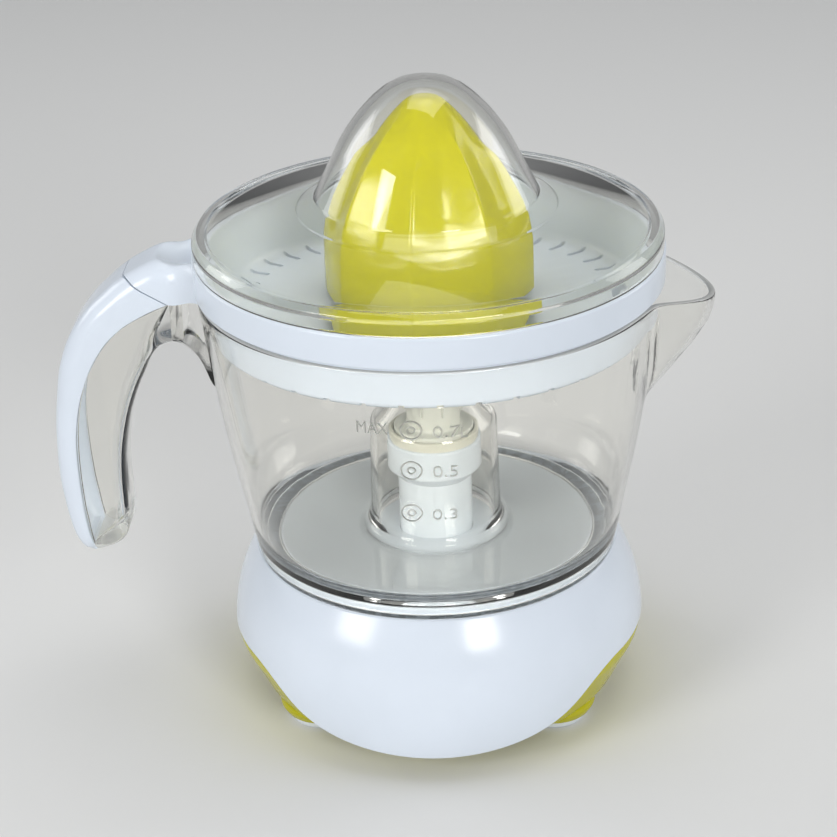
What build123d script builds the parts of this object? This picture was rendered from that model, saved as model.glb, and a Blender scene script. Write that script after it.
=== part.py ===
"""Citrus press juicer: powered base, clear jug, strainer, reamer cone and dome lid. Millimetres, Z up.

The handle points to -X and the spout to +X. The drive axis is vertical at (AXIS_X, 0); z = 0 is the table.
"""
import math
import os

from build123d import *

# overall sizes
RING_R = 75.0            # strainer ring and lid rim
HANDLE_REACH = 124.0     # drive axis to the back of the handle
SPOUT_REACH = 91.0       # drive axis to the lip of the spout
AXIS_X = (HANDLE_REACH - SPOUT_REACH) / 2
GAP = 0.3                # clearance between pieces that come apart
FIT = 0.05               # radial clearance of a running or guiding fit

# base housing and tub
BASE_R = 69.0            # widest radius of the housing
BASE_WIDE_Z = 25.0
BASE_TOP_R = 60.0
LEDGE_Z = 55.5           # the jug stands here
DECK_R = 52.3            # raised disc inside the foot ring of the jug
DECK_Z = 58.0
WALL = 2.5
ARCH_Z = 28.0            # top of the arched lower edge, at the two sides
ARCH_HALF = 42.6
ARCH_KNEE_Y = 57.3
ARCH_KNEE_Z = 13.5
TUB_R = 65.9
TUB_TOP_Z = 31.0
TUB_FLOOR_Z = 4.5
TUB_WALL = 2.2
FLOOR_Z = TUB_FLOOR_Z + TUB_WALL
FOOT_X = 38.5
FOOT_Y = 26.5
FOOT_R = 10.8
POD_R = 14.5
POD_Z = 3.0
POST_Z = 16.0            # tub posts meet housing posts
GLAND_Z = 17.0
GLAND_R = 5.0

# drive line
TRAVEL = 2.2             # the cone is pressed down this far to start the motor
COLUMN_R = 12.2
TOWER_TOP_Z = 92.0
TOWER_BORE_R = 8.0
COLLAR_R = 14.7
COLLAR_TOP_Z = 94.8
SHAFT_R = 3.0
SHAFT_END_R = 2.5
SHAFT_HEX = 6.0          # across flats
SHAFT_BOTTOM_Z = 31.0
COUPLING_R = 8.8
COUPLING_TOP_Z = 166.0
RIBS = 6
RIB_WIDTH = 3.0
RIB_RISE = 1.0
SPRING_R = 5.6
SPRING_WIRE_R = 0.7
SPRING_TURNS = 6
PLATE_Z = 39.0           # underside of the gear plate
PLATE_T = 2.2
OUTPUT_Z = 47.9          # underside of the output gear
OUTPUT_T = 5.0
IDLER_Z = 42.3
IDLER_T = 5.0

# gear train: rotor pinion, idler wheel, idler pinion, output wheel
FAST_MODULE = 0.8
SLOW_MODULE = 1.0
ROTOR_TEETH = 10
WHEEL_TEETH = 50
PINION_TEETH = 12
OUTPUT_TEETH = 48
ROTOR_X = 14.0           # from the drive axis
ROTOR_Y = 29.0

# motor
CORE_Z = 15.0
CORE_T = 16.0
ROTOR_R = 12.4
AIR_GAP = 0.4
ROTOR_SHAFT_R = 2.0
BRACKET_Z = 9.5          # underside of the lower end bracket
MOTOR_SCREW = 11.5       # screw offset from the rotor axis, in x and in y

# jug
JUG_FOOT_Z = LEDGE_Z
JUG_RIM_Z = 147.0
JUG_RIM_R = RING_R - 0.7
JUG_WAIST_R = 59.7
JUG_WALL = 2.2
JUG_FLOOR_Z = 60.8
CHIMNEY_R = 20.8
NECK_R = 12.8
NECK_TOP_Z = 138.0
SPOUT_ROOT_Z = 104.0
SPOUT_TIP_Z = 141.6

# handle, measured outward from the drive axis toward -X
HANDLE_R = 128.0         # back of the handle, lower bend
HANDLE_U = HANDLE_REACH - HANDLE_R
HANDLE_Z = 86.3
KNEE = 13.5              # angle where the lower bend passes into the upper one
KNEE_R = 66.0            # back of the handle, upper bend
GRIP_R = 88.0            # finger side of the handle, bent above and straight below
GRIP_LINE = HANDLE_REACH - 21.7
GRIP_Z = 77.5
SPLIT_U = HANDLE_REACH - 82.0
SPLIT_Z = 85.4
SPLIT_R = 75.6           # joint between the cover and the clear grip
HANDLE_HALF = 13.5
GRIP_HALF = HANDLE_HALF - 1.3
SEAM_TOP = (HANDLE_REACH - 27.8, 151.7)
SEAM_LOW = (HANDLE_REACH - 41.7, 143.4)

# strainer
RING_LOW_Z = 148.0
RING_TOP_Z = 158.0
BOWL_R = RING_R - 5.7
BOWL_UNDER_Z = 133.2
BOWL_FLOOR_Z = 135.4
SLOTS = 38
SLOT_WIDTH = 2.0
SLOT_LENGTH = 13.0
SLEEVE_R = 15.2          # centre sleeve round the neck of the jug

# cone and its socket
CONE_R = 34.7
CONE_BOTTOM_Z = 138.5
CONE_TOP_Z = 206.7
FLUTES = 8
FLUTE_R = 13.0
SOCKET_R = 12.0
SOCKET_BOTTOM_Z = 144.5
SOCKET_TOP_Z = 168.5

# lid
LID_TOP_Z = 213.0
LID_WALL = 2.0
LID_R = 74.5

# local x is the radius, local y the height
AXIAL = Plane((AXIS_X, 0, 0), x_dir=(1, 0, 0), z_dir=(0, -1, 0))
HANDLE = Plane((AXIS_X, 0, 0), x_dir=(-1, 0, 0), z_dir=(0, 1, 0))   # local x runs out along the handle
SPIN = Axis((AXIS_X, 0, 0), (0, 0, 1))

os.makedirs("parts", exist_ok=True)


def level(z):
    """Horizontal plane at a height, centred on the drive axis."""
    return Plane((AXIS_X, 0, z))


def outline(corners):
    """Closed outline through (x, y) or (x, y, corner radius)."""
    points = [corner[:2] for corner in corners]
    radii = [corner[2] if len(corner) > 2 else 0 for corner in corners]
    FilletPolyline(*points, radius=radii, close=True)


def turn(corners, mode=Mode.ADD):
    """Body of revolution round the drive axis."""
    with BuildSketch(AXIAL) as section:
        with BuildLine():
            outline(corners)
        make_face()
    revolve(section.sketch, axis=SPIN, mode=mode)


def slab(plane, corners, amount, mode=Mode.ADD, both=False):
    """Prism over an outline."""
    with BuildSketch(plane) as section:
        with BuildLine():
            outline(corners)
        make_face()
    extrude(section.sketch, amount=amount, both=both, mode=mode)


def drum(place, radius, height, mode=Mode.ADD):
    """Cylinder standing on an (x, y, z) given from the drive axis."""
    with BuildSketch(level(place[2])) as section:
        with Locations((place[0], place[1])):
            Circle(radius)
    extrude(section.sketch, amount=height, mode=mode)


def tube(place, outer, inner, height):
    """Ring standing on an (x, y, z) given from the drive axis."""
    drum(place, outer, height)
    drum(place, inner, height, Mode.SUBTRACT)


def parallel(path, wall):
    """The path of (x, y, radius) moved to its right by the wall thickness."""
    moved = []
    steps = [(b[0] - a[0], b[1] - a[1]) for a, b in zip(path, path[1:])]
    sides = [(dy / math.hypot(dx, dy), -dx / math.hypot(dx, dy)) for dx, dy in steps]
    for index, corner in enumerate(path):
        before = sides[max(index - 1, 0)]
        after = sides[min(index, len(sides) - 1)]
        share = wall / (1 + before[0] * after[0] + before[1] * after[1])
        bend = before[0] * after[1] - before[1] * after[0]
        radius = corner[2] if len(corner) > 2 else 0
        if radius > 0:
            radius = max(radius + math.copysign(wall, bend), 0.2)
        moved.append((corner[0] + share * (before[0] + after[0]),
                      corner[1] + share * (before[1] + after[1]), radius))
    return moved


def polar(radius, degrees):
    """Point at a radius and an angle."""
    return (radius * math.cos(math.radians(degrees)), radius * math.sin(math.radians(degrees)))


def screw(place, length, shank, head_r, head_t, up=True):
    """Pan-head screw with a cross slot; the shank runs down from the head, or up if the head is below."""
    x, y, z = place
    side = -1 if up else 1
    drum((x, y, min(z, z + side * length)), shank, length)
    top = z if up else z - head_t
    drum((x, y, top), head_r, head_t)
    slot_z = top + head_t - 0.8 if up else top
    with BuildSketch(level(slot_z)) as cross:
        with Locations((x, y)):
            Rectangle(head_r * 1.3, 0.7)
            Rectangle(0.7, head_r * 1.3)
    extrude(cross.sketch, amount=0.8, mode=Mode.SUBTRACT)


def gear(place, teeth, module, shift, aim, thickness, gap=False):
    """Spur gear with involute teeth; a tooth, or a gap, is centred on the direction aim."""
    pressure = math.radians(20)
    pitch_r = teeth * module / 2
    base_r = pitch_r * math.cos(pressure)
    tip_r = pitch_r + module * (1 + shift)
    root_r = pitch_r - module * (1.25 - shift)
    half = (module * (math.pi / 2 + 2 * shift * math.tan(pressure)) - 0.12) / (2 * pitch_r)
    start_r = max(base_r, root_r + 0.02)

    def flank(radius):
        angle = math.acos(min(base_r / radius, 1))
        return math.degrees(half + math.tan(pressure) - pressure - math.tan(angle) + angle)

    step = 360 / teeth
    first = aim + (step / 2 if gap else 0)
    mid_r = (start_r + tip_r) / 2
    with BuildSketch(level(place[2])) as section:
        with Locations((place[0], place[1])):
            with BuildLine():
                for tooth in range(teeth):
                    turned = first + tooth * step
                    low = flank(start_r)
                    Line(polar(root_r, turned - low), polar(start_r, turned - low))
                    ThreePointArc(polar(start_r, turned - low), polar(mid_r, turned - flank(mid_r)),
                                  polar(tip_r, turned - flank(tip_r)))
                    Line(polar(tip_r, turned - flank(tip_r)), polar(tip_r, turned + flank(tip_r)))
                    ThreePointArc(polar(tip_r, turned + flank(tip_r)),
                                  polar(mid_r, turned + flank(mid_r)),
                                  polar(start_r, turned + low))
                    Line(polar(start_r, turned + low), polar(root_r, turned + low))
                    Line(polar(root_r, turned + low), polar(root_r, turned + step - low))
            make_face()
    extrude(section.sketch.moved(Location((place[0], place[1], 0))), amount=thickness)


# gear centres, from the drive axis
SLOW_CENTRES = SLOW_MODULE * (PINION_TEETH + OUTPUT_TEETH) / 2
FAST_CENTRES = FAST_MODULE * (ROTOR_TEETH + WHEEL_TEETH) / 2
ROTOR_AWAY = math.hypot(ROTOR_X, ROTOR_Y)
ROTOR_AIM = math.degrees(math.atan2(ROTOR_Y, ROTOR_X))
IDLER_SWING = math.degrees(math.acos(
    (SLOW_CENTRES ** 2 + ROTOR_AWAY ** 2 - FAST_CENTRES ** 2) / (2 * SLOW_CENTRES * ROTOR_AWAY)))
IDLER_AIM = ROTOR_AIM + IDLER_SWING
IDLER_X, IDLER_Y = polar(SLOW_CENTRES, IDLER_AIM)
IDLER_TO_ROTOR = math.degrees(math.atan2(ROTOR_Y - IDLER_Y, ROTOR_X - IDLER_X))
PLATE_POSTS = [polar(36.0, angle) for angle in (30, -45, -150)]
MOTOR_SCREWS = [(ROTOR_X + side * MOTOR_SCREW, ROTOR_Y + side * MOTOR_SCREW) for side in (1, -1)]
FEET = [(x * FOOT_X, y * FOOT_Y) for x in (-1, 1) for y in (-1, 1)]
DECK_UNDER_Z = DECK_Z - WALL - 0.3
TOWER_SCREWS = [polar(14.6, angle) for angle in (0, 180, 270)]
BULGE_R = ((BASE_R - BASE_TOP_R) ** 2 + (LEDGE_Z - BASE_WIDE_Z) ** 2) / (2 * (BASE_R - BASE_TOP_R))


def shell_r(z, inset=0):
    """Radius of the housing wall at a height."""
    return BASE_R - BULGE_R + math.sqrt((BULGE_R - inset) ** 2 - (z - BASE_WIDE_Z) ** 2)


def arch(top):
    """Outline of the space under the skirt, seen along X."""
    drop = top - ARCH_KNEE_Z
    end_y = ARCH_KNEE_Y + 20
    low = top - drop - 11.3
    return [(-end_y, -6), (end_y, -6), (end_y, low), (ARCH_KNEE_Y, top - drop, 50), (ARCH_HALF, top, 22),
            (-ARCH_HALF, top, 22), (-ARCH_KNEE_Y, top - drop, 50), (-end_y, low)]


# base housing: round bulging skirt, ledge for the jug, raised deck, inner posts
LEDGE_UNDER_Z = LEDGE_Z - WALL
with BuildPart() as base_housing:
    with BuildSketch(AXIAL) as skirt:
        with BuildLine():
            Polyline((COLUMN_R + 0.2, DECK_UNDER_Z), (COLUMN_R + 0.2, DECK_Z), (DECK_R, DECK_Z),
                     (DECK_R, LEDGE_Z),
                     (BASE_TOP_R, LEDGE_Z))
            ThreePointArc((BASE_TOP_R, LEDGE_Z), (BASE_R, BASE_WIDE_Z), (shell_r(3), 3))
            Line((shell_r(3), 3), (shell_r(3, WALL), 3))
            ThreePointArc((shell_r(3, WALL), 3), (BASE_R - WALL, BASE_WIDE_Z),
                          (shell_r(LEDGE_UNDER_Z, WALL), LEDGE_UNDER_Z))
            Polyline((shell_r(LEDGE_UNDER_Z, WALL), LEDGE_UNDER_Z), (DECK_R - WALL, LEDGE_UNDER_Z),
                     (DECK_R - WALL, DECK_UNDER_Z), (COLUMN_R + 0.2, DECK_UNDER_Z))
        make_face()
    revolve(skirt.sketch, axis=SPIN)
    fillet(base_housing.edges().filter_by(GeomType.CIRCLE).filter_by_position(Axis.Z, LEDGE_Z - 0.1,
                                                                              LEDGE_Z + 0.1)
           .sort_by(SortBy.RADIUS)[-1], 0.8)
    fillet(base_housing.edges().filter_by(GeomType.CIRCLE).filter_by_position(Axis.Z, DECK_Z - 0.1,
                                                                              DECK_Z + 0.1)
           .sort_by(SortBy.RADIUS)[-1], 0.8)
    slab(Plane.YZ, arch(ARCH_Z), AXIS_X + 2 * BASE_R, Mode.SUBTRACT, both=True)
    for x, y in FEET:
        drum((x, y, POST_Z), 3.6, DECK_UNDER_Z + 1 - POST_Z)
        drum((x, y, POST_Z), 1.5 + FIT, 16, Mode.SUBTRACT)
    for x, y in PLATE_POSTS:
        drum((x, y, PLATE_Z + PLATE_T), 3.6, DECK_UNDER_Z + 0.5 - PLATE_Z - PLATE_T)
        drum((x, y, PLATE_Z + PLATE_T), 1.3 + FIT, 9, Mode.SUBTRACT)
    for x, y in TOWER_SCREWS:
        drum((x, y, DECK_UNDER_Z), 0.9 + FIT, 2, Mode.SUBTRACT)
    drum((IDLER_X, IDLER_Y, DECK_UNDER_Z - 1.2), 4, 1.5)
    drum((IDLER_X, IDLER_Y, DECK_UNDER_Z - 1.2), 1.5 + FIT, 2.5, Mode.SUBTRACT)
    with BuildSketch(Plane((AXIS_X, 0, GLAND_Z), x_dir=(1, 0, 0), z_dir=(0, 1, 0))) as inlet:
        Circle(GLAND_R + FIT)
    extrude(inlet.sketch, amount=BASE_R + 5, mode=Mode.SUBTRACT)
base_housing.part.label = "base_housing"
export_step(base_housing.part, "parts/base_housing.step")

# base tub: tapered pan inside the skirt, cheeks under the arches, foot pods, posts, seats, vents
TUB_PATH = [(TUB_R, TUB_TOP_Z), (TUB_R, 19.6, 10), (TUB_R - 5.9, 7.0, 6), (50.0, TUB_FLOOR_Z, 5),
            (0, TUB_FLOOR_Z)]
TUB_INSIDE = parallel(TUB_PATH, TUB_WALL)
CHEEK_R = BASE_R - 0.45
with BuildPart() as cheeks:
    turn([(TUB_R - 1.2, ARCH_Z), (CHEEK_R, ARCH_Z), (CHEEK_R, 24.5, 10), (TUB_R - 0.9, 17.4),
          (TUB_R - 2.2, 17.4)])
    slab(Plane.YZ, arch(ARCH_Z - GAP), AXIS_X + 2 * BASE_R, Mode.INTERSECT, both=True)
with BuildPart() as pods:
    for x, y in FEET:
        with BuildSketch(Plane((AXIS_X + x, y, 0), x_dir=(1, 0, 0), z_dir=(0, -1, 0))) as pod:
            with BuildLine():
                outline([(0, POD_Z), (POD_R - 2, POD_Z, 1.5), (POD_R, 6.5, 2.5), (POD_R - 1.5, 9.0, 3),
                         (POD_R - 8, POST_Z, 1), (0, POST_Z)])
            make_face()
        revolve(pod.sketch, axis=Axis((AXIS_X + x, y, 0), (0, 0, 1)))
    turn([(0, TUB_TOP_Z)] + parallel(TUB_PATH, TUB_WALL / 2), Mode.SUBTRACT)
with BuildPart() as base_tub:
    turn(TUB_PATH + TUB_INSIDE[::-1])
    add(cheeks.part)
    add(pods.part)
    for x, y in FEET:
        drum((x, y, POD_Z + 3), 4.6, POST_Z - POD_Z - 3)
        drum((x, y, POD_Z), FOOT_R + FIT, 1.5, Mode.SUBTRACT)
        drum((x, y, POD_Z + 1.5), 3.3, 3.0, Mode.SUBTRACT)
        drum((x, y, POD_Z + 4.5), 1.5 + FIT, POST_Z, Mode.SUBTRACT)
    for x, y in MOTOR_SCREWS:
        drum((x, y, FLOOR_Z - 0.5), 4, BRACKET_Z - FLOOR_Z + 0.5)
        drum((x, y, TUB_FLOOR_Z + 0.8), 1.6 + FIT, 8, Mode.SUBTRACT)
    with BuildSketch(level(FLOOR_Z - 0.5)) as pedestal:
        Rectangle(23, 13)
    extrude(pedestal.sketch, amount=14.0 - FLOOR_Z + 0.5)
    for x in (-7.5, 7.5):
        drum((x, 0, 9), 1.1 + FIT, 8, Mode.SUBTRACT)
    with BuildSketch(level(TUB_FLOOR_Z - 1)) as vents:
        with PolarLocations(33.0, 5, 230, 80):
            SlotOverall(18, 2.4, rotation=0)
    extrude(vents.sketch, amount=TUB_WALL + 2, mode=Mode.SUBTRACT)
    with BuildSketch(Plane((AXIS_X, 0, GLAND_Z), x_dir=(1, 0, 0), z_dir=(0, 1, 0))) as passage:
        Circle(GLAND_R + FIT)
    extrude(passage.sketch, amount=BASE_R + 5, mode=Mode.SUBTRACT)
base_tub.part.label = "base_tub"
export_step(base_tub.part, "parts/base_tub.step")

# feet: four pads let into the pods
with BuildPart() as feet:
    for x, y in FEET:
        with BuildSketch(Plane((AXIS_X + x, y, 0), x_dir=(1, 0, 0), z_dir=(0, -1, 0))) as pad:
            with BuildLine():
                outline([(0, 0), (FOOT_R, 0, 1.2), (FOOT_R, POD_Z + 1.5), (0, POD_Z + 1.5)])
            make_face()
        revolve(pad.sketch, axis=Axis((AXIS_X + x, y, 0), (0, 0, 1)))
feet.part.label = "feet"
export_step(feet.part, "parts/feet.step")

with BuildPart() as base_screws:
    for x, y in FEET:
        screw((x, y, POD_Z + 4.5), 22, 1.5, 3.0, 2.2, up=False)
base_screws.part.label = "base_screws"
export_step(base_screws.part, "parts/base_screws.step")

# cord gland: flanged grommet in the back of the base
with BuildPart() as cord_gland:
    with BuildSketch(Plane((AXIS_X, 0, GLAND_Z), x_dir=(1, 0, 0),
                           z_dir=(0, 1, 0)).offset(BASE_R + 0.1)) as flange:
        Circle(GLAND_R + 1.8)
    extrude(flange.sketch, amount=1.6)
    with BuildSketch(Plane((AXIS_X, 0, GLAND_Z), x_dir=(1, 0, 0),
                           z_dir=(0, 1, 0)).offset(55.5)) as barrel:
        Circle(GLAND_R)
    extrude(barrel.sketch, amount=BASE_R - 55.0)
    with BuildSketch(Plane((AXIS_X, 0, GLAND_Z), x_dir=(1, 0, 0), z_dir=(0, 1, 0)).offset(50)) as bore:
        Circle(3.2)
    extrude(bore.sketch, amount=30, mode=Mode.SUBTRACT)
cord_gland.part.label = "cord_gland"
export_step(cord_gland.part, "parts/cord_gland.step")

# drive tower: column through the deck with a flange at the top
TOWER_FOOT_Z = DECK_UNDER_Z - 1.8
with BuildPart() as tower:
    turn([(TOWER_BORE_R, TOWER_FOOT_Z), (17.0, TOWER_FOOT_Z), (17.0, DECK_UNDER_Z),
          (COLUMN_R, DECK_UNDER_Z),
          (COLUMN_R, 78.5), (15.5, 82.0, 0.8), (15.5, TOWER_TOP_Z, 0.8), (13.4, TOWER_TOP_Z),
          (13.4, 90.0),
          (TOWER_BORE_R, 90.0)])
    for x, y in TOWER_SCREWS:
        drum((x, y, TOWER_FOOT_Z), 0.9 + FIT, 4, Mode.SUBTRACT)
tower.part.label = "tower"
export_step(tower.part, "parts/tower.step")

with BuildPart() as tower_screws:
    for x, y in TOWER_SCREWS:
        drum((x, y, TOWER_FOOT_Z), 0.9, DECK_UNDER_Z + 1.6 - TOWER_FOOT_Z)
        drum((x, y, TOWER_FOOT_Z - 0.8), 1.7, 0.8)
tower_screws.part.label = "tower_screws"
export_step(tower_screws.part, "parts/tower_screws.step")

with BuildPart() as tower_collar:
    turn([(13.4, TOWER_TOP_Z), (COLLAR_R, TOWER_TOP_Z), (COLLAR_R, COLLAR_TOP_Z, 0.5),
          (13.4, COLLAR_TOP_Z, 0.4)])
tower_collar.part.label = "tower_collar"
export_step(tower_collar.part, "parts/tower_collar.step")

BUSH_TOP_Z = 68.0
with BuildPart() as upper_bush:
    tube((0, 0, 60.0), TOWER_BORE_R, SHAFT_R + FIT, BUSH_TOP_Z - 60.0)
upper_bush.part.label = "upper_bush"
export_step(upper_bush.part, "parts/upper_bush.step")

# gear plate: round plate on three posts, with the lower shaft boss
BOSS_TOP_Z = OUTPUT_Z - GAP
BOSS_Z = 36.0
with BuildPart() as gear_plate:
    drum((0, 0, PLATE_Z), 41.5, PLATE_T)
    drum((0, 0, BOSS_Z), 7.2, BOSS_TOP_Z - BOSS_Z)
    drum((0, 0, BOSS_Z), 5.0, BOSS_TOP_Z - BOSS_Z, Mode.SUBTRACT)
    drum((ROTOR_X, ROTOR_Y, PLATE_Z), 5.6, PLATE_T, Mode.SUBTRACT)
    drum((IDLER_X, IDLER_Y, PLATE_Z), 4.0, IDLER_Z - GAP - PLATE_Z)
    drum((IDLER_X, IDLER_Y, PLATE_Z), 1.5, 5, Mode.SUBTRACT)
    for x, y in PLATE_POSTS:
        drum((x, y, PLATE_Z), 1.3 + FIT, PLATE_T, Mode.SUBTRACT)
    for x, y in MOTOR_SCREWS:
        drum((x, y, PLATE_Z), 3.6, PLATE_T, Mode.SUBTRACT)
gear_plate.part.label = "gear_plate"
export_step(gear_plate.part, "parts/gear_plate.step")

with BuildPart() as gear_plate_screws:
    for x, y in PLATE_POSTS:
        screw((x, y, PLATE_Z), 9, 1.3, 2.8, 2.0, up=False)
gear_plate_screws.part.label = "gear_plate_screws"
export_step(gear_plate_screws.part, "parts/gear_plate_screws.step")

with BuildPart() as lower_bush:
    tube((0, 0, BOSS_Z), 5.0, SHAFT_END_R + FIT, BOSS_TOP_Z - BOSS_Z)
lower_bush.part.label = "lower_bush"
export_step(lower_bush.part, "parts/lower_bush.step")

with BuildPart() as idler_axle:
    drum((IDLER_X, IDLER_Y, PLATE_Z), 1.5, DECK_UNDER_Z + 1.2 - PLATE_Z)
idler_axle.part.label = "idler_axle"
export_step(idler_axle.part, "parts/idler_axle.step")

# gears
with BuildPart() as output_gear:
    gear((0, 0, OUTPUT_Z), OUTPUT_TEETH, SLOW_MODULE, -0.3, IDLER_AIM, OUTPUT_T, gap=True)
    turn([(11, OUTPUT_Z + 3.4), (19.5, OUTPUT_Z + 3.4), (19.5, OUTPUT_Z + OUTPUT_T),
          (11, OUTPUT_Z + OUTPUT_T)],
         Mode.SUBTRACT)
    with BuildSketch(level(OUTPUT_Z)) as hex_bore:
        RegularPolygon(SHAFT_HEX / 2 + FIT, 6, major_radius=False)
    extrude(hex_bore.sketch, amount=OUTPUT_T, mode=Mode.SUBTRACT)
output_gear.part.label = "output_gear"
export_step(output_gear.part, "parts/output_gear.step")

with BuildPart() as idler_gear:
    gear((IDLER_X, IDLER_Y, IDLER_Z), WHEEL_TEETH, FAST_MODULE, -0.4, IDLER_TO_ROTOR, IDLER_T, gap=True)
    gear((IDLER_X, IDLER_Y, IDLER_Z + IDLER_T), PINION_TEETH, SLOW_MODULE, 0.3, IDLER_AIM + 180,
         OUTPUT_Z + OUTPUT_T - IDLER_Z - IDLER_T + 0.2)
    drum((IDLER_X, IDLER_Y, IDLER_Z), 1.5 + FIT, 20, Mode.SUBTRACT)
idler_gear.part.label = "idler_gear"
export_step(idler_gear.part, "parts/idler_gear.step")

with BuildPart() as motor_pinion:
    gear((ROTOR_X, ROTOR_Y, IDLER_Z - 0.3), ROTOR_TEETH, FAST_MODULE, 0.4, IDLER_TO_ROTOR + 180,
         IDLER_T + 0.6)
    drum((ROTOR_X, ROTOR_Y, IDLER_Z - 1.5), 3.2, 1.2)
    drum((ROTOR_X, ROTOR_Y, IDLER_Z - 1.5), ROTOR_SHAFT_R, 20, Mode.SUBTRACT)
motor_pinion.part.label = "motor_pinion"
export_step(motor_pinion.part, "parts/motor_pinion.step")

# motor: laminated core with a window, bobbin and coil on the left leg, rotor in the bore
CORE_LEFT = -38.0        # from the rotor centre
CORE_RIGHT = 16.0
CORE_HALF = 16.0
LEG = 10.0
MOTOR = Plane((AXIS_X + ROTOR_X, ROTOR_Y, 0))
with BuildPart() as motor_core:
    with BuildSketch(MOTOR.offset(CORE_Z)) as lamination:
        with Locations(((CORE_LEFT + CORE_RIGHT) / 2, 0)):
            Rectangle(CORE_RIGHT - CORE_LEFT, 2 * CORE_HALF)
        with Locations((CORE_LEFT + LEG + 7, 0)):
            Rectangle(14, 20, mode=Mode.SUBTRACT)
        Circle(ROTOR_R + AIR_GAP, mode=Mode.SUBTRACT)
        with Locations((MOTOR_SCREW, MOTOR_SCREW), (-MOTOR_SCREW, -MOTOR_SCREW)):
            Circle(1.6 + FIT, mode=Mode.SUBTRACT)
    extrude(lamination.sketch, amount=CORE_T)
motor_core.part.label = "motor_core"
export_step(motor_core.part, "parts/motor_core.step")

LEG_X = CORE_LEFT + LEG / 2
with BuildPart() as motor_bobbin:
    for y in (-9.8, 8.6):
        with BuildSketch(Plane((AXIS_X + ROTOR_X + LEG_X, ROTOR_Y + y, CORE_Z + CORE_T / 2),
                               x_dir=(1, 0, 0),
                               z_dir=(0, 1, 0))) as cheek:
            Rectangle(LEG + 8, CORE_T + 7)
        extrude(cheek.sketch, amount=1.2)
    with BuildSketch(Plane((AXIS_X + ROTOR_X + LEG_X, ROTOR_Y - 9.8, CORE_Z + CORE_T / 2),
                           x_dir=(1, 0, 0),
                           z_dir=(0, 1, 0))) as core_tube:
        Rectangle(LEG + 2.4, CORE_T + 2.4)
    extrude(core_tube.sketch, amount=19.6)
    with BuildSketch(Plane((AXIS_X + ROTOR_X + LEG_X, ROTOR_Y - 10, CORE_Z + CORE_T / 2), x_dir=(1, 0, 0),
                           z_dir=(0, 1, 0))) as leg_hole:
        Rectangle(LEG, CORE_T)
    extrude(leg_hole.sketch, amount=20, mode=Mode.SUBTRACT)
motor_bobbin.part.label = "motor_bobbin"
export_step(motor_bobbin.part, "parts/motor_bobbin.step")

with BuildPart() as motor_coil:
    with BuildSketch(Plane((AXIS_X + ROTOR_X + LEG_X, ROTOR_Y - 8.6, CORE_Z + CORE_T / 2),
                           x_dir=(1, 0, 0),
                           z_dir=(0, 1, 0))) as winding:
        RectangleRounded(LEG + 7, CORE_T + 6, 2.5)
        Rectangle(LEG + 2.4, CORE_T + 2.4, mode=Mode.SUBTRACT)
    extrude(winding.sketch, amount=17.2)
motor_coil.part.label = "motor_coil"
export_step(motor_coil.part, "parts/motor_coil.step")


def bracket(plate_z, spacer_z, spacer_t, hub_z, hub_t):
    """Diagonal end bracket with a bearing hub and two spacers."""
    with BuildSketch(MOTOR.offset(plate_z)) as bar:
        SlotOverall(2 * math.hypot(MOTOR_SCREW, MOTOR_SCREW) + 11, 12, rotation=45)
    extrude(bar.sketch, amount=2)
    drum((ROTOR_X, ROTOR_Y, hub_z), 5.5, hub_t)
    for x, y in MOTOR_SCREWS:
        drum((x, y, spacer_z), 3.4, spacer_t)
        drum((x, y, spacer_z - 5), 1.6 + FIT, spacer_t + 10, Mode.SUBTRACT)
    drum((ROTOR_X, ROTOR_Y, hub_z - 2), 3.5, hub_t + 4, Mode.SUBTRACT)


CORE_TOP_Z = CORE_Z + CORE_T
with BuildPart() as motor_bracket_lower:
    bracket(BRACKET_Z, BRACKET_Z + 2, CORE_Z - BRACKET_Z - 2, BRACKET_Z, 3.6)
motor_bracket_lower.part.label = "motor_bracket_lower"
export_step(motor_bracket_lower.part, "parts/motor_bracket_lower.step")

with BuildPart() as motor_bracket_upper:
    bracket(CORE_TOP_Z + 3, CORE_TOP_Z, 3.0, CORE_TOP_Z + 1.4, 3.6)
motor_bracket_upper.part.label = "motor_bracket_upper"
export_step(motor_bracket_upper.part, "parts/motor_bracket_upper.step")

with BuildPart() as motor_bushes:
    for z in (BRACKET_Z, CORE_TOP_Z + 1.4):
        tube((ROTOR_X, ROTOR_Y, z), 3.5, ROTOR_SHAFT_R + FIT, 3.6)
motor_bushes.part.label = "motor_bushes"
export_step(motor_bushes.part, "parts/motor_bushes.step")

with BuildPart() as motor_screws:
    for x, y in MOTOR_SCREWS:
        screw((x, y, CORE_TOP_Z + 5), CORE_TOP_Z + 5 - TUB_FLOOR_Z - 1.1, 1.6, 3.0, 1.8)
motor_screws.part.label = "motor_screws"
export_step(motor_screws.part, "parts/motor_screws.step")

with BuildPart() as rotor_core:
    drum((ROTOR_X, ROTOR_Y, CORE_Z + 0.4), ROTOR_R, CORE_T - 0.8)
    drum((ROTOR_X, ROTOR_Y, CORE_Z + 0.4), ROTOR_SHAFT_R, CORE_T - 0.8, Mode.SUBTRACT)
rotor_core.part.label = "rotor_core"
export_step(rotor_core.part, "parts/rotor_core.step")

with BuildPart() as rotor_shaft:
    drum((ROTOR_X, ROTOR_Y, BRACKET_Z + 0.3), ROTOR_SHAFT_R, IDLER_Z + IDLER_T + 0.5 - BRACKET_Z)
rotor_shaft.part.label = "rotor_shaft"
export_step(rotor_shaft.part, "parts/rotor_shaft.step")

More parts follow.
